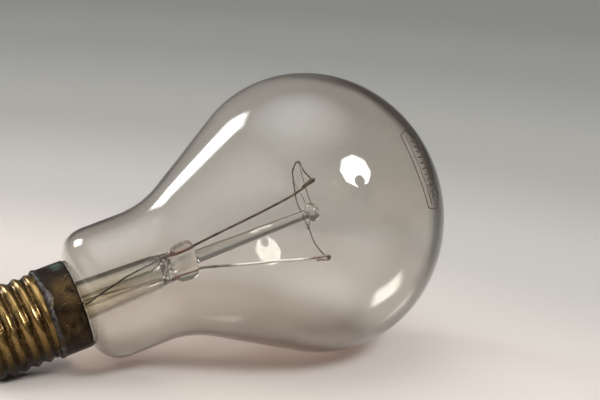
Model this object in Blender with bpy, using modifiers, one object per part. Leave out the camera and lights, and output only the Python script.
# Dead light bulb: a large clear pear-shaped filament lamp with a screw cap, lying on its side.
#
# The lamp is built upright. Its axis is local +Z and the crown is at the top. Height 0 is the
# front edge of the metal collar, where the glass comes out of the cap, so the glass has
# positive heights and the cap has negative ones. Local +X is the side that faces the table.
# At the end an empty lays the whole lamp down until the globe and the cap both touch z = 0.
#
# Units are metres.

import bmesh
import bpy
import math
from mathutils import Vector

# Clearances
GAP = 0.0003                    # between pieces that touch, are soldered or are fused
TINY = 0.000001                 # merge distance for modifiers and welds

# Glass envelope
GLOBE_RADIUS = 0.04185          # at the widest ring
GLOBE_HEIGHT = 0.0735           # of the widest ring
CROWN_RISE = 0.0395             # from the widest ring to the top of the crown
GLOBE_LOWER_RADIUS = 0.034      # arc that leads from the widest ring into the cone
CONE_ANGLE = math.radians(31)   # between the cone and the axis
CONE_FILLET_RADIUS = 0.028      # hollow arc from the cone into the neck
NECK_RADIUS = 0.0198
NECK_BOTTOM = 0.009             # where the neck begins to round in towards the cap
SHOULDER_START = 0.0
SHOULDER_RISE = 0.0007
SHOULDER_REACH = 0.0162
SHOULDER_TURN = 0.0038
SEAT_RADIUS = 0.0113            # of the glass inside the cap
SEAT_DEPTH = 0.009              # that the glass reaches into the cap
GLASS_WALL = 0.0007

# Screw cap
COLLAR_RADIUS = 0.0132
COLLAR_LENGTH = 0.0082
SHEET = 0.00035                 # thickness of the cap's sheet metal
CREST_RADIUS = 0.0131
ROOT_RADIUS = 0.0122
PITCH = 0.003629
THREAD_START = 0.0097           # below the collar's front edge
THREAD_FADE = 0.0018
THREAD_CREST_DEPTH = 0.0126     # of a crest on the side that faces the table
SHELL_END = 0.0287              # below the collar's front edge
SHELL_END_RADIUS = 0.0111
SHELL_CURL = 0.0012             # length over which the shell's end turns in
SHELL_CURL_SHARES = (0.5, 0.15, 0.0)        # rings left to the shell's very end
SHELL_ROWS_PER_TURN = 5
SLEEVE_OVERLAP = 0.0016         # that the shell reaches into the collar
SEAM_RADIUS = 0.00042           # of the solder bead round the shell
CEMENT_START = 0.0012
CEMENT_LENGTH = 0.0048

# Contact end
INSULATOR_LENGTH = 0.0036       # of the part that stands out of the shell
INSULATOR_SEAT = 0.0014         # of the part inside the shell
INSULATOR_TIP_RADIUS = 0.0056
INSULATOR_EDGE = 0.0004
CONTACT_RADIUS = 0.0049
CONTACT_THICKNESS = 0.0005
CONTACT_DISH = 0.00015
SOLDER_RADIUS = 0.0023
SOLDER_TIP_RADIUS = 0.0013
SOLDER_HEIGHT = 0.0011

# Stem: the flare tube and the flattened press
FLARE_TUBE_RADIUS = 0.0057
PRESS_END_RADIUS = 0.0051       # of the flare tube where the press begins
STEM_WALL = 0.0008
FLARE_NECK_HEIGHT = 0.0030      # where the tube begins to flare out
FLARE_BEND = 0.98               # share of a quarter ellipse that the flare follows
PRESS_START = 0.0240
PRESS_LENGTH = 0.0128
PRESS_HALF_WIDTH = 0.0068
PRESS_WAIST = 0.0048
PRESS_HALF_THICKNESS = 0.0024
PRESS_TURN = math.radians(18)   # of the flat press about the lamp's axis
CAVITY_DEPTH = 0.0034           # that the hollow of the tube reaches into the press
BLOW_HOLE_RADIUS = 0.0009
BLOW_HOLE_RISE = 0.0020         # from the press's beginning to the blow hole

# Exhaust tube
EXHAUST_RADIUS = 0.0019
EXHAUST_WALL = 0.0006
EXHAUST_TOP = 0.0242
EXHAUST_TIP_DEPTH = 0.0150
EXHAUST_SET = 0.0006            # of its axis towards the table side

# Glass rod with its button
ROD_BASE_RADIUS = 0.0020
ROD_WAIST_RADIUS = 0.00165
ROD_TOP_RADIUS = 0.0014
BUTTON_HEIGHT = 0.0744
BUTTON_RADIUS = 0.0028
BUTTON_HALF_LENGTH = 0.0021

# Wires
OUTER_LEAD_DIAMETER = 0.0006
SEAL_WIRE_DIAMETER = 0.0007
INNER_LEAD_DIAMETER = 0.00075
FILAMENT_DIAMETER = 0.00045
SUPPORT_DIAMETER = 0.00035
WIRE_SPACING = 0.0035           # of each wire from the axis where the press begins
WIRE_SPLAY = 0.055              # that a wire moves outwards per length inside the press
LEAD_MOUTH_RISE = 0.0014        # from the press's beginning to where the outer leads come out
SIDE_LEAD_DROP = 0.0022         # from the end of the glass to where the side lead meets the shell
SIDE_LEAD_TAIL = 0.0010         # of the side lead that lies along the shell
SIDE_LEAD_BEND = (-0.0083, -0.0017, -0.0101)    # its last bend before the shell
SOCKET_DEPTH = 0.0012           # of the leads' ends in the press and of supports in the button
HOOK_LENGTH = 0.0034
FILAMENT_HEIGHT = 0.0740
FILAMENT_OVERHANG = 0.0012
SUPPORT_ROOT_STAGGER = 0.00045  # up and down, so that the sockets in the button stay apart
PIGTAIL_TURNS = 1.25            # of a support's end round the filament

# Steps along the outlines
CROWN_STEPS = 9
BELLY_STEPS = 4
FILLET_STEPS = 4
SHOULDER_STEPS = 6
SEAM_STEPS = 8
DOME_STEPS = 4
BUTTON_STEPS = 8

# Facets round the axis. Each round piece has a flat, not an edge, on its table side.
GLOBE_STEPS = 36
CAP_STEPS = 24
STEM_STEPS = 28
FLARE_RINGS = 6
ROD_STEPS = 20
SMALL_STEPS = 16
PIGTAIL_STEPS = 10
HOOK_STEPS = 6
FILAMENT_SPAN_STEPS = 4         # along the filament between two points of its route
LEAD_SPAN_STEPS = 3

# Search for the lamp's rest
STEEPEST_TILT = math.radians(60)
TILT_TRIES = 60

# Routes chosen from the look of the real wires: distance towards the table, distance away
# from the viewer's side, and height.
UPPER_LEAD_ROUTE = [(-0.0043, -0.0017, 0.0387), (-0.0057, -0.0035, 0.0452), (-0.0080, -0.0067, 0.0564),
                    (-0.0105, -0.0096, 0.0671)]
LOWER_LEAD_ROUTE = [(0.0045, 0.0009, 0.0395), (0.0063, -0.0005, 0.0469), (0.0080, -0.0016, 0.0536),
                    (0.0097, -0.0028, 0.0608), (0.0116, -0.0040, 0.0680)]
FILAMENT_ROUTE = [(-0.0132, -0.0112), (-0.0138, -0.0086), (-0.0147, -0.0050), (-0.0166, -0.0034),
                  (-0.0165, -0.0005), (-0.0144, 0.0031), (-0.0124, 0.0059), (-0.0105, 0.0078),
                  (-0.0072, 0.0093), (-0.0028, 0.0113), (0.0004, 0.0118), (0.0023, 0.0105),
                  (0.0035, 0.0093), (0.0052, 0.0087), (0.0070, 0.0070), (0.0087, 0.0064),
                  (0.0106, 0.0059), (0.0121, 0.0042), (0.0130, 0.0015), (0.0136, -0.0019),
                  (0.0134, -0.0046)]
SUPPORT_STATIONS = [3.5, 8, 11.6, 14]       # places along FILAMENT_ROUTE that a support holds
SIDE_LEAD_ROUTE = [(-0.0031, -0.0012, 0.0215), (-0.0027, -0.0020, 0.0156), (-0.0019, -0.0027, 0.0111),
                   (-0.0011, -0.0031, 0.0067), (0.0002, -0.0034, -0.0010), (-0.0030, -0.0040, -0.0085)]
CENTRE_LEAD_ROUTE = [(0.0031, 0.0012, 0.0215), (0.0026, 0.0030, 0.0140), (0.0014, 0.0034, 0.0060),
                     (0.0012, 0.0036, -0.0060), (0.0010, 0.0030, -0.0150), (0.0004, 0.0010, -0.0225)]

COLLECTION_NAME = "dead_light_bulb"


def clear_scene():
    for leftover in list(bpy.data.objects):
        bpy.data.objects.remove(leftover, do_unlink=True)


def new_collection(name):
    collection = bpy.data.collections.new(name)
    bpy.context.scene.collection.children.link(collection)
    return collection


def make_material(name, colour, roughness, metallic, transmission=0.0):
    material = bpy.data.materials.new(name)
    material.use_nodes = True
    shader = material.node_tree.nodes["Principled BSDF"]
    shader.inputs["Base Color"].default_value = (*colour, 1.0)
    shader.inputs["Roughness"].default_value = roughness
    shader.inputs["Metallic"].default_value = metallic
    shader.inputs["Transmission Weight"].default_value = transmission
    material.diffuse_color = (*colour, 1.0)
    return material


def add_object(name, data, material, collection, axis):
    piece = bpy.data.objects.new(name, data)
    collection.objects.link(piece)
    piece.parent = axis
    data.materials.append(material)
    return piece


# Turned pieces

def arc(centre_r, centre_h, radius_r, radius_h, start, end, count):
    """Points (radius, height) on an ellipse's arc, both ends included."""
    points = []
    for index in range(count + 1):
        angle = start + (end - start) * index / count
        points.append((centre_r + radius_r * math.cos(angle), centre_h + radius_h * math.sin(angle)))
    return points


def bezier(first, second, third, fourth, count):
    """Points on a cubic Bezier, both ends included."""
    points = []
    for index in range(count + 1):
        t = index / count
        weights = ((1 - t) ** 3, 3 * t * (1 - t) ** 2, 3 * t * t * (1 - t), t ** 3)
        corners = (first, second, third, fourth)
        points.append(tuple(sum(w * c[k] for w, c in zip(weights, corners)) for k in (0, 1)))
    return points


def turned(name, outline, steps, closed, material, collection, axis):
    """Turn an outline of (radius, height) points about local Z, with a facet on the table side."""
    mesh = bpy.data.meshes.new(name)
    edges = [(index, index + 1) for index in range(len(outline) - 1)]
    if closed:
        edges.append((len(outline) - 1, 0))
    mesh.from_pydata([(radius, 0.0, height) for radius, height in outline], edges, [])
    piece = add_object(name, mesh, material, collection, axis)
    piece.rotation_euler.z = math.pi / steps
    screw = piece.modifiers.new("Turn", "SCREW")
    screw.steps = steps
    screw.render_steps = steps
    screw.use_merge_vertices = True
    screw.merge_threshold = TINY
    screw.use_smooth_shade = True
    return piece


def envelope_outer():
    """The outside of the glass, from the top of the crown down to the end inside the cap."""
    crown = arc(0.0, GLOBE_HEIGHT, GLOBE_RADIUS, CROWN_RISE, math.pi / 2, 0.0, CROWN_STEPS)
    lower_centre = GLOBE_RADIUS - GLOBE_LOWER_RADIUS
    belly = arc(lower_centre, GLOBE_HEIGHT, GLOBE_LOWER_RADIUS, GLOBE_LOWER_RADIUS, 0.0, -CONE_ANGLE,
                BELLY_STEPS)
    cone_top_r, cone_top_h = belly[-1]
    fillet_rise = CONE_FILLET_RADIUS * (1 - math.cos(CONE_ANGLE))
    cone_length = (cone_top_r - NECK_RADIUS - fillet_rise) / math.tan(CONE_ANGLE)
    fillet_top = cone_top_h - cone_length
    fillet_bottom = fillet_top - CONE_FILLET_RADIUS * math.sin(CONE_ANGLE)
    fillet = arc(NECK_RADIUS + CONE_FILLET_RADIUS, fillet_bottom, CONE_FILLET_RADIUS, CONE_FILLET_RADIUS,
                 math.pi - CONE_ANGLE, math.pi, FILLET_STEPS)
    shoulder = bezier((NECK_RADIUS, NECK_BOTTOM), (NECK_RADIUS, SHOULDER_TURN),
                      (SHOULDER_REACH, SHOULDER_RISE), (SEAT_RADIUS, SHOULDER_START), SHOULDER_STEPS)
    return crown + belly[1:] + fillet + shoulder + [(SEAT_RADIUS, -SEAT_DEPTH)]


def inset(outline, distance):
    """The outline moved inwards by a distance, square to its own direction at each point."""
    moved = []
    for index, (radius, height) in enumerate(outline):
        before = outline[max(index - 1, 0)]
        after = outline[min(index + 1, len(outline) - 1)]
        run = Vector((after[0] - before[0], after[1] - before[1])).normalized()
        moved.append((max(radius + run.y * distance, 0.0), height - run.x * distance))
    moved[0] = (0.0, outline[0][1] - distance)
    moved[-1] = (outline[-1][0] - distance, outline[-1][1])
    return moved


def build_envelope(material, collection, axis):
    outer = envelope_outer()
    inner = inset(outer, GLASS_WALL)
    outline = outer + inner[::-1]
    return turned("envelope", outline, GLOBE_STEPS, False, material, collection, axis)


def build_collar(material, collection, axis):
    inner_radius = COLLAR_RADIUS - SHEET
    outline = [(COLLAR_RADIUS, 0.0), (COLLAR_RADIUS, -COLLAR_LENGTH),
               (inner_radius, -COLLAR_LENGTH), (inner_radius, 0.0)]
    return turned("collar", outline, CAP_STEPS, True, material, collection, axis)


def sleeve_radius():
    """Outer radius of the plain rim of the shell that sits inside the collar."""
    return COLLAR_RADIUS - SHEET - GAP / math.cos(math.pi / CAP_STEPS)


def build_collar_solder(material, collection, axis):
    centre_radius = sleeve_radius() + GAP / math.cos(math.pi / CAP_STEPS) + SEAM_RADIUS
    centre_height = -COLLAR_LENGTH - GAP - SEAM_RADIUS
    outline = arc(centre_radius, centre_height, SEAM_RADIUS, SEAM_RADIUS, math.pi / 2, -1.5 * math.pi,
                  SEAM_STEPS)[:-1]
    return turned("collar_solder", outline, CAP_STEPS, True, material, collection, axis)


def build_cement(material, collection, axis):
    outer = COLLAR_RADIUS - SHEET - GAP / math.cos(math.pi / CAP_STEPS)
    inner = (SEAT_RADIUS + GAP) / math.cos(math.pi / CAP_STEPS)
    bottom = -CEMENT_START - CEMENT_LENGTH
    outline = [(outer, -CEMENT_START), (outer, bottom), (inner, bottom), (inner, -CEMENT_START)]
    return turned("cap_cement", outline, CAP_STEPS, True, material, collection, axis)


# Screw shell

def thread_radius(height, angle):
    """Outside radius of the rolled shell at a height, and at an angle from the table side."""
    depth = -height
    middle = (CREST_RADIUS + ROOT_RADIUS) / 2
    wave = (CREST_RADIUS - ROOT_RADIUS) / 2
    if depth <= THREAD_START:
        return sleeve_radius()
    curl_start = SHELL_END - SHELL_CURL
    fade_in = min((depth - THREAD_START) / THREAD_FADE, 1.0)
    fade_out = min(max((curl_start - depth) / THREAD_FADE, 0.0), 1.0)
    turn = 2 * math.pi * (height + THREAD_CREST_DEPTH) / PITCH - angle
    threaded = middle + wave * math.cos(turn) * min(fade_in, fade_out)
    radius = sleeve_radius() + (threaded - sleeve_radius()) * fade_in
    if depth > curl_start:
        share = (depth - curl_start) / SHELL_CURL
        radius = middle - (middle - SHELL_END_RADIUS) * (1 - math.sqrt(max(1 - share * share, 0.0)))
    return radius


def shell_heights():
    rows = round((SHELL_END - SHELL_CURL - THREAD_START) / PITCH * SHELL_ROWS_PER_TURN)
    spacing = (SHELL_END - SHELL_CURL - THREAD_START) / rows
    heights = [-COLLAR_LENGTH + SLEEVE_OVERLAP]
    heights += [-THREAD_START - spacing * row for row in range(rows + 1)]
    heights += [-SHELL_END + SHELL_CURL * share for share in SHELL_CURL_SHARES]
    return heights


def shell_angles():
    return [2 * math.pi * (index + 0.5) / CAP_STEPS for index in range(CAP_STEPS)]


def build_screw_shell(material, collection, axis):
    """A sheet sleeve whose wall is rolled into a right-hand thread."""
    rings = bmesh.new()
    grid = []
    for height in shell_heights():
        row = []
        for angle in shell_angles():
            radius = thread_radius(height, angle)
            row.append(rings.verts.new((radius * math.cos(angle), radius * math.sin(angle), height)))
        grid.append(row)
    for upper, lower in zip(grid, grid[1:]):
        for index in range(CAP_STEPS):
            beside = (index + 1) % CAP_STEPS
            rings.faces.new((upper[index], lower[index], lower[beside], upper[beside]))
    mesh = bpy.data.meshes.new("screw_shell")
    rings.to_mesh(mesh)
    rings.free()
    mesh.shade_smooth()
    piece = add_object("screw_shell", mesh, material, collection, axis)
    wall = piece.modifiers.new("Sheet", "SOLIDIFY")
    wall.thickness = SHEET
    wall.offset = -1.0
    return piece


# Contact end

def insulator_bottom():
    return -SHELL_END - INSULATOR_LENGTH


def contact_bore():
    return OUTER_LEAD_DIAMETER / 2 + GAP / math.cos(math.pi / SMALL_STEPS)


def build_insulator(material, collection, axis):
    seat_radius = SHELL_END_RADIUS - SHEET - GAP / math.cos(math.pi / CAP_STEPS)
    top = -SHELL_END + INSULATOR_SEAT
    bottom = insulator_bottom()
    bore = contact_bore()
    outline = [(bore, top), (seat_radius, top), (seat_radius, -SHELL_END - GAP),
               (seat_radius - INSULATOR_EDGE, -SHELL_END - GAP - INSULATOR_EDGE)]
    outline += [(INSULATOR_TIP_RADIUS, bottom + INSULATOR_EDGE),
                (INSULATOR_TIP_RADIUS - INSULATOR_EDGE, bottom), (bore, bottom)]
    return turned("insulator", outline, CAP_STEPS, True, material, collection, axis)


def build_contact(material, collection, axis):
    top = insulator_bottom() - GAP
    bottom = top - CONTACT_THICKNESS
    bore = contact_bore()
    outline = [(bore, top), (CONTACT_RADIUS - CONTACT_DISH, top), (CONTACT_RADIUS, top - CONTACT_DISH),
               (CONTACT_RADIUS, bottom + CONTACT_DISH), (CONTACT_RADIUS - CONTACT_DISH, bottom),
               (bore, bottom)]
    return turned("centre_contact", outline, CAP_STEPS, True, material, collection, axis)


def solder_top():
    return insulator_bottom() - GAP - CONTACT_THICKNESS - GAP


def build_centre_solder(material, collection, axis):
    """A low blob of solder, worn flat at its tip."""
    top = solder_top()
    dome_radius = SOLDER_RADIUS - SOLDER_TIP_RADIUS
    dome = arc(SOLDER_TIP_RADIUS, top, dome_radius, SOLDER_HEIGHT, 0.0, -math.pi / 2, DOME_STEPS)
    outline = [(0.0, top)] + dome + [(0.0, top - SOLDER_HEIGHT)]
    return turned("centre_solder", outline, SMALL_STEPS, False, material, collection, axis)


# Stem: flare tube and press in one piece of glass

def section(half_width, half_thickness, squareness, height):
    """One ring of the stem: an ellipse at squareness 2 and a rounded box above that."""
    ring = []
    for index in range(STEM_STEPS):
        angle = 2 * math.pi * (index + 0.5) / STEM_STEPS
        across = abs(math.cos(angle)) ** (2 / squareness) * math.copysign(half_width, math.cos(angle))
        through = abs(math.sin(angle)) ** (2 / squareness) * math.copysign(half_thickness, math.sin(angle))
        turned_x = across * math.cos(PRESS_TURN) - through * math.sin(PRESS_TURN)
        turned_y = across * math.sin(PRESS_TURN) + through * math.cos(PRESS_TURN)
        ring.append((turned_x, turned_y, height))
    return ring


def flare_rim_radius():
    return (SEAT_RADIUS - GLASS_WALL) * math.cos(math.pi / GLOBE_STEPS) - GAP


def press_sections():
    """Shares of the press's length with the half width, half thickness and squareness there."""
    return [(0.13, 0.94 * PRESS_END_RADIUS, 0.82 * PRESS_END_RADIUS, 2.1),
            (0.30, PRESS_WAIST, 1.30 * PRESS_HALF_THICKNESS, 2.4),
            (0.45, 1.10 * PRESS_WAIST, 1.05 * PRESS_HALF_THICKNESS, 2.8),
            (0.62, 0.92 * PRESS_HALF_WIDTH, PRESS_HALF_THICKNESS, 3.0),
            (0.80, PRESS_HALF_WIDTH, PRESS_HALF_THICKNESS, 3.0),
            (0.93, 0.94 * PRESS_HALF_WIDTH, 0.94 * PRESS_HALF_THICKNESS, 3.0),
            (1.00, 0.80 * PRESS_HALF_WIDTH, 0.70 * PRESS_HALF_THICKNESS, 3.0)]


def stem_outside():
    """Sections (half width, half thickness, squareness, height), from the flared rim upwards."""
    sections = []
    flare_height = FLARE_NECK_HEIGHT + SEAT_DEPTH
    flare_width = flare_rim_radius() - FLARE_TUBE_RADIUS
    for step in range(FLARE_RINGS):
        share = 1 - step / (FLARE_RINGS - 1)
        bend = (1 - math.sqrt(1 - (FLARE_BEND * share) ** 2)) / (1 - math.sqrt(1 - FLARE_BEND ** 2))
        radius = FLARE_TUBE_RADIUS + flare_width * bend
        sections.append((radius, radius, 2.0, FLARE_NECK_HEIGHT - flare_height * share))
    sections.append((PRESS_END_RADIUS, PRESS_END_RADIUS, 2.0, PRESS_START))
    for share, width, thickness, squareness in press_sections():
        sections.append((width, thickness, squareness, PRESS_START + PRESS_LENGTH * share))
    return sections


def stem_inside():
    """The hollow's sections, from its blind end in the press down to the flared rim."""
    outside = stem_outside()
    sections = []
    radius = PRESS_END_RADIUS - STEM_WALL
    for share, width, thickness in ((1.0, 0.80, 0.30), (0.6, 0.90, 0.75), (0.2, 0.97, 0.95)):
        sections.append((width * radius, thickness * radius, 2.0, PRESS_START + CAVITY_DEPTH * share))
    for half_width, half_thickness, squareness, height in reversed(outside[:FLARE_RINGS + 1]):
        sections.append((half_width - STEM_WALL, half_thickness - STEM_WALL, squareness, height))
    return sections


def build_stem(material, collection, axis):
    shape = bmesh.new()
    rings = [[shape.verts.new(point) for point in section(*values)]
             for values in reversed(stem_outside())]
    rings += [[shape.verts.new(point) for point in section(*values)]
              for values in reversed(stem_inside())]
    for upper, lower in zip(rings, rings[1:]):
        for index in range(STEM_STEPS):
            beside = (index + 1) % STEM_STEPS
            shape.faces.new((upper[index], lower[index], lower[beside], upper[beside]))
    shape.faces.new(rings[0])
    shape.faces.new(rings[-1][::-1])
    mesh = bpy.data.meshes.new("stem_flare")
    shape.to_mesh(mesh)
    shape.free()
    mesh.shade_smooth()
    return add_object("stem_flare", mesh, material, collection, axis)


def press_point(across, through, height):
    """A place given across and through the flat press, as local coordinates."""
    return Vector((across * math.cos(PRESS_TURN) - through * math.sin(PRESS_TURN),
                   across * math.sin(PRESS_TURN) + through * math.cos(PRESS_TURN), height))


def build_exhaust_tube(material, collection, axis):
    """A tube drawn shut at its lower tip and open at the press."""
    bore = EXHAUST_RADIUS - EXHAUST_WALL
    tip_centre = EXHAUST_RADIUS - EXHAUST_TIP_DEPTH
    hollow = arc(0.0, tip_centre, bore, bore, -math.pi / 2, 0.0, DOME_STEPS)
    tip = arc(0.0, tip_centre, EXHAUST_RADIUS, EXHAUST_RADIUS, 0.0, -math.pi / 2, DOME_STEPS)
    outline = hollow + [(bore, EXHAUST_TOP), (EXHAUST_RADIUS, EXHAUST_TOP)] + tip
    tube = turned("exhaust_tube", outline, SMALL_STEPS, False, material, collection, axis)
    tube.location.x = EXHAUST_SET
    return tube


def rod_bottom():
    return PRESS_START + PRESS_LENGTH + GAP


def build_rod(material, collection, axis):
    """The glass rod that stands on the press and carries the button."""
    neck_height = BUTTON_HEIGHT - BUTTON_HALF_LENGTH * math.sqrt(1 - (ROD_TOP_RADIUS / BUTTON_RADIUS) ** 2)
    join = math.asin(ROD_TOP_RADIUS / BUTTON_RADIUS) - math.pi / 2
    button = arc(0.0, BUTTON_HEIGHT, BUTTON_RADIUS, BUTTON_HALF_LENGTH, math.pi / 2, join, BUTTON_STEPS)
    bottom = rod_bottom()
    length = neck_height - bottom
    shaft = [(ROD_WAIST_RADIUS, bottom + 0.45 * length), (0.94 * ROD_BASE_RADIUS, bottom + 0.08 * length),
             (ROD_BASE_RADIUS, bottom + 0.02 * length), (0.93 * ROD_BASE_RADIUS, bottom), (0.0, bottom)]
    return turned("glass_rod", button + shaft, ROD_STEPS, False, material, collection, axis)


# Wires

def smooth_route(points, per_span):
    """Points on a Catmull-Rom curve through the given ones."""
    given = [Vector(point) for point in points]
    padded = [2 * given[0] - given[1]] + given + [2 * given[-1] - given[-2]]
    route = [given[0]]
    for index in range(1, len(padded) - 2):
        before, start, end, after = padded[index - 1:index + 3]
        for step in range(1, per_span + 1):
            t = step / per_span
            route.append(0.5 * (2 * start + (end - before) * t
                                + (2 * before - 5 * start + 4 * end - after) * t * t
                                + (3 * start - before - 3 * end + after) * t ** 3))
    return route


def make_wire(name, route, diameter, material, collection, axis):
    curve = bpy.data.curves.new(name, "CURVE")
    curve.dimensions = "3D"
    curve.bevel_depth = diameter / 2
    curve.bevel_resolution = 2
    curve.use_fill_caps = True
    spline = curve.splines.new("POLY")
    spline.points.add(len(route) - 1)
    for place, point in zip(spline.points, route):
        place.co = (*point, 1.0)
    return add_object(name, curve, material, collection, axis)


def channel_point(side, height):
    """A place on the middle line of the upper (-1) or the lower (1) wire channel of the press."""
    return press_point(side * (WIRE_SPACING + WIRE_SPLAY * (height - PRESS_START)), 0.0, height)


def wire_ends(side):
    """Places inside one channel of the press where outer lead, seal wire and inner lead meet."""
    press_top = PRESS_START + PRESS_LENGTH
    cavity_top = PRESS_START + CAVITY_DEPTH
    outer_end = channel_point(side, cavity_top + SOCKET_DEPTH)
    seal_start = channel_point(side, cavity_top + SOCKET_DEPTH + GAP)
    seal_end = channel_point(side, press_top - SOCKET_DEPTH - GAP)
    inner_start = channel_point(side, press_top - SOCKET_DEPTH)
    return outer_end, seal_start, seal_end, inner_start


def hook_radius():
    return ((INNER_LEAD_DIAMETER + FILAMENT_DIAMETER) / 2 + GAP) / math.cos(math.pi / (2 * HOOK_STEPS))


def hooked_lead(name, side, route, clamp, material, collection, axis):
    """An inner lead whose end is bent back over the filament at the clamp point."""
    start = wire_ends(side)[3]
    exit_point = channel_point(side, PRESS_START + PRESS_LENGTH + GAP)
    rise = (clamp - Vector(route[-1])).normalized()
    outward = Vector((clamp.x, clamp.y, 0.0))
    outward = (outward - outward.dot(rise) * rise).normalized()
    radius = hook_radius()
    path = [start] + smooth_route([exit_point] + route + [clamp - outward * radius], LEAD_SPAN_STEPS)
    for step in range(1, HOOK_STEPS + 1):
        angle = math.pi * step / HOOK_STEPS
        path.append(clamp - outward * radius * math.cos(angle) + rise * radius * math.sin(angle))
    path.append(clamp + outward * radius - rise * HOOK_LENGTH)
    return make_wire(name, path, INNER_LEAD_DIAMETER, material, collection, axis)


def filament_curve():
    """The filament's centre line from clamp to clamp."""
    return smooth_route([(x, y, FILAMENT_HEIGHT) for x, y in FILAMENT_ROUTE], FILAMENT_SPAN_STEPS)


def clamp_points():
    curve = filament_curve()
    return curve[0], curve[-1]


def build_filament(material, collection, axis):
    curve = filament_curve()
    first = curve[0] + (curve[0] - curve[1]).normalized() * FILAMENT_OVERHANG
    last = curve[-1] + (curve[-1] - curve[-2]).normalized() * FILAMENT_OVERHANG
    return make_wire("filament", [first] + curve[::2] + [last], FILAMENT_DIAMETER,
                     material, collection, axis)


def support_wire(number, station, material, collection, axis):
    """A support: straight out of the button, then a pigtail round the filament.

    Gives the point where it starts in the button and its direction there.
    """
    curve = filament_curve()
    place = min(round(station * FILAMENT_SPAN_STEPS), len(curve) - 2)
    held = curve[place]
    along = (curve[place + 1] - curve[place - 1]).normalized()
    stagger = SUPPORT_ROOT_STAGGER * (1 if number % 2 else -1)
    outward = Vector((held.x, held.y, 0.0)).normalized()
    root = outward * (BUTTON_RADIUS - SOCKET_DEPTH) + Vector((0.0, 0.0, BUTTON_HEIGHT + stagger))
    loop_radius = ((FILAMENT_DIAMETER + SUPPORT_DIAMETER) / 2 + GAP) / math.cos(math.pi * PIGTAIL_TURNS
                                                                                / PIGTAIL_STEPS)
    inward = (root - held) - (root - held).dot(along) * along
    inward.normalize()
    beside = along.cross(inward)
    pitch = SUPPORT_DIAMETER + GAP
    path = [root]
    for step in range(PIGTAIL_STEPS + 1):
        turns = PIGTAIL_TURNS * step / PIGTAIL_STEPS
        angle = 2 * math.pi * turns
        centre = held + along * pitch * (turns - PIGTAIL_TURNS / 2)
        path.append(centre + loop_radius * (inward * math.cos(angle) + beside * math.sin(angle)))
    make_wire("support_wire_%d" % number, path, SUPPORT_DIAMETER, material, collection, axis)
    return root, (path[1] - root).normalized()


def build_supports(material, collection, axis):
    roots = []
    for number, station in enumerate(SUPPORT_STATIONS, start=1):
        roots.append(support_wire(number, station, material, collection, axis))
    return roots


def build_seal_wires(material, collection, axis):
    for name, side in (("seal_wire_upper", -1), ("seal_wire_lower", 1)):
        _, start, end, _ = wire_ends(side)
        make_wire(name, [start, end], SEAL_WIRE_DIAMETER, material, collection, axis)


def build_inner_leads(material, collection, axis):
    upper_clamp, lower_clamp = clamp_points()
    hooked_lead("inner_lead_upper", -1, UPPER_LEAD_ROUTE, upper_clamp, material, collection, axis)
    hooked_lead("inner_lead_lower", 1, LOWER_LEAD_ROUTE, lower_clamp, material, collection, axis)


def build_outer_leads(material, collection, axis):
    """One lead runs to the shell's wall under the solder seam, the other to the centre contact."""
    side_end = wire_ends(-1)[0]
    solder_height = -SEAT_DEPTH - SIDE_LEAD_DROP
    inside = min(thread_radius(solder_height, math.pi),
                 thread_radius(solder_height - SIDE_LEAD_TAIL, math.pi)) - SHEET
    wall = inside * math.cos(math.pi / CAP_STEPS) - GAP - OUTER_LEAD_DIAMETER / 2
    side_path = [side_end] + smooth_route(
        [channel_point(-1, PRESS_START + LEAD_MOUTH_RISE)] + SIDE_LEAD_ROUTE
        + [SIDE_LEAD_BEND, (-wall, 0.0, solder_height)], LEAD_SPAN_STEPS)
    side_path.append(Vector((-wall, 0.0, solder_height - SIDE_LEAD_TAIL)))
    make_wire("outer_lead_side", side_path, OUTER_LEAD_DIAMETER, material, collection, axis)
    centre_end = wire_ends(1)[0]
    centre_path = [centre_end] + smooth_route(
        [channel_point(1, PRESS_START + LEAD_MOUTH_RISE)] + CENTRE_LEAD_ROUTE
        + [(0.0, 0.0, -SHELL_END + INSULATOR_SEAT)], LEAD_SPAN_STEPS)
    centre_path.append(Vector((0.0, 0.0, solder_top() + GAP)))
    make_wire("outer_lead_centre", centre_path, OUTER_LEAD_DIAMETER, material, collection, axis)


# Bores

def add_cutter(name, start, end, radius, cutters, axis):
    """A round cutter between two points."""
    middle = (start + end) / 2
    length = (end - start).length
    bpy.ops.mesh.primitive_cylinder_add(vertices=SMALL_STEPS, radius=radius, depth=length, location=middle)
    cutter = bpy.context.object
    cutter.name = name
    cutter.rotation_euler = (end - start).to_track_quat("Z", "Y").to_euler()
    cutter.parent = axis
    for collection in list(cutter.users_collection):
        collection.objects.unlink(cutter)
    cutters.objects.link(cutter)
    cutter.hide_render = True
    cutter.display_type = "WIRE"
    return cutter


def cut(piece, cutter):
    bore = piece.modifiers.new(cutter.name, "BOOLEAN")
    bore.operation = "DIFFERENCE"
    bore.solver = "EXACT"
    bore.object = cutter


def cut_stem(stem, cutters, axis):
    """Open the two wire channels and the blow hole."""
    channel_radius = (SEAL_WIRE_DIAMETER / 2 + GAP) / math.cos(math.pi / SMALL_STEPS)
    for name, side in (("channel_upper", -1), ("channel_lower", 1)):
        start = channel_point(side, PRESS_START)
        end = channel_point(side, PRESS_START + PRESS_LENGTH + SOCKET_DEPTH)
        cut(stem, add_cutter(name, start, end, channel_radius, cutters, axis))
    hole_height = PRESS_START + BLOW_HOLE_RISE
    cut(stem, add_cutter("blow_hole", press_point(0.0, 0.0, hole_height),
                         press_point(0.0, -2 * PRESS_END_RADIUS, hole_height),
                         BLOW_HOLE_RADIUS, cutters, axis))


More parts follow.
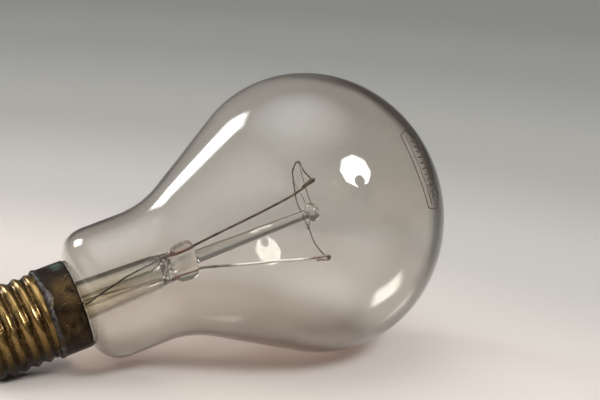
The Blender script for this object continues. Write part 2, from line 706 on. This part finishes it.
def cut_rod(rod, roots, cutters, axis):
    """Open a socket in the button for each support wire."""
    socket_radius = (SUPPORT_DIAMETER / 2 + GAP) / math.cos(math.pi / SMALL_STEPS)
    for number, (root, direction) in enumerate(roots, start=1):
        start = root - direction * GAP
        end = root + direction * 2 * SOCKET_DEPTH
        cut(rod, add_cutter("socket_%d" % number, start, end, socket_radius, cutters, axis))


# Laying the lamp down

def lowest(points, tilt):
    """Height of the lowest of (distance towards the table, height on the axis) points."""
    return min(height * math.sin(tilt) - down * math.cos(tilt) for down, height in points)


def rest_tilt():
    """The tilt at which the globe and the cap's last crest stand level on the table."""
    flat = math.cos(math.pi / GLOBE_STEPS)
    globe = [(radius * flat, height) for radius, height in envelope_outer() if height > NECK_BOTTOM]
    shell = [(thread_radius(height, angle) * math.cos(angle), height)
             for height in shell_heights() for angle in (shell_angles()[0], shell_angles()[-1])]
    low = 0.0
    high = STEEPEST_TILT
    for _ in range(TILT_TRIES):
        middle = (low + high) / 2
        if lowest(globe, middle) < lowest(shell, middle):
            low = middle
        else:
            high = middle
    return (low + high) / 2


def world_bounds(collection):
    graph = bpy.context.evaluated_depsgraph_get()
    low = Vector((math.inf, math.inf, math.inf))
    high = -low
    for piece in collection.objects:
        evaluated = piece.evaluated_get(graph)
        mesh = evaluated.to_mesh()
        for vertex in mesh.vertices:
            place = evaluated.matrix_world @ vertex.co
            low = Vector(map(min, low, place))
            high = Vector(map(max, high, place))
        evaluated.to_mesh_clear()
    return low, high


def lay_down(axis, collection):
    """Tilt the lamp to its rest and put the origin under the middle of its box."""
    axis.rotation_euler.y = math.pi / 2 - rest_tilt()
    bpy.context.view_layer.update()
    low, high = world_bounds(collection)
    axis.location = (-(low.x + high.x) / 2, -(low.y + high.y) / 2, -low.z)


def main():
    clear_scene()
    parts = new_collection(COLLECTION_NAME)
    cutters = new_collection("cutters")
    axis = bpy.data.objects.new("lamp_axis", None)
    bpy.context.scene.collection.objects.link(axis)

    clear_glass = make_material("clear_glass", (0.86, 0.85, 0.83), 0.03, 0.0, 1.0)
    stem_glass = make_material("stem_glass", (0.83, 0.82, 0.70), 0.06, 0.0, 0.9)
    rod_glass = make_material("rod_glass", (0.80, 0.82, 0.80), 0.05, 0.0, 0.9)
    tube_glass = make_material("tube_glass", (0.80, 0.79, 0.66), 0.08, 0.0, 0.9)
    brass = make_material("brass", (0.55, 0.42, 0.20), 0.32, 1.0)
    dark_collar = make_material("dark_collar", (0.10, 0.075, 0.05), 0.5, 0.8)
    seam_solder = make_material("seam_solder", (0.36, 0.38, 0.40), 0.45, 0.9)
    tip_solder = make_material("tip_solder", (0.45, 0.45, 0.44), 0.4, 0.9)
    contact_brass = make_material("contact_brass", (0.50, 0.38, 0.20), 0.4, 1.0)
    black_glass = make_material("black_glass", (0.012, 0.011, 0.014), 0.2, 0.0)
    cement = make_material("cement", (0.55, 0.48, 0.38), 0.9, 0.0)
    outer_wire = make_material("outer_wire", (0.14, 0.10, 0.08), 0.45, 0.9)
    seal_wire = make_material("seal_wire", (0.38, 0.10, 0.05), 0.4, 0.8)
    inner_wire = make_material("inner_wire", (0.20, 0.15, 0.12), 0.35, 1.0)
    tungsten = make_material("tungsten", (0.10, 0.09, 0.09), 0.4, 1.0)
    support_metal = make_material("support_metal", (0.42, 0.40, 0.38), 0.3, 1.0)

    build_envelope(clear_glass, parts, axis)
    build_collar(dark_collar, parts, axis)
    build_collar_solder(seam_solder, parts, axis)
    build_cement(cement, parts, axis)
    build_screw_shell(brass, parts, axis)
    build_insulator(black_glass, parts, axis)
    build_contact(contact_brass, parts, axis)
    build_centre_solder(tip_solder, parts, axis)
    stem = build_stem(stem_glass, parts, axis)
    build_exhaust_tube(tube_glass, parts, axis)
    rod = build_rod(rod_glass, parts, axis)
    build_outer_leads(outer_wire, parts, axis)
    build_seal_wires(seal_wire, parts, axis)
    build_inner_leads(inner_wire, parts, axis)
    build_filament(tungsten, parts, axis)
    roots = build_supports(support_metal, parts, axis)
    cut_stem(stem, cutters, axis)
    cut_rod(rod, roots, cutters, axis)
    lay_down(axis, parts)


main()
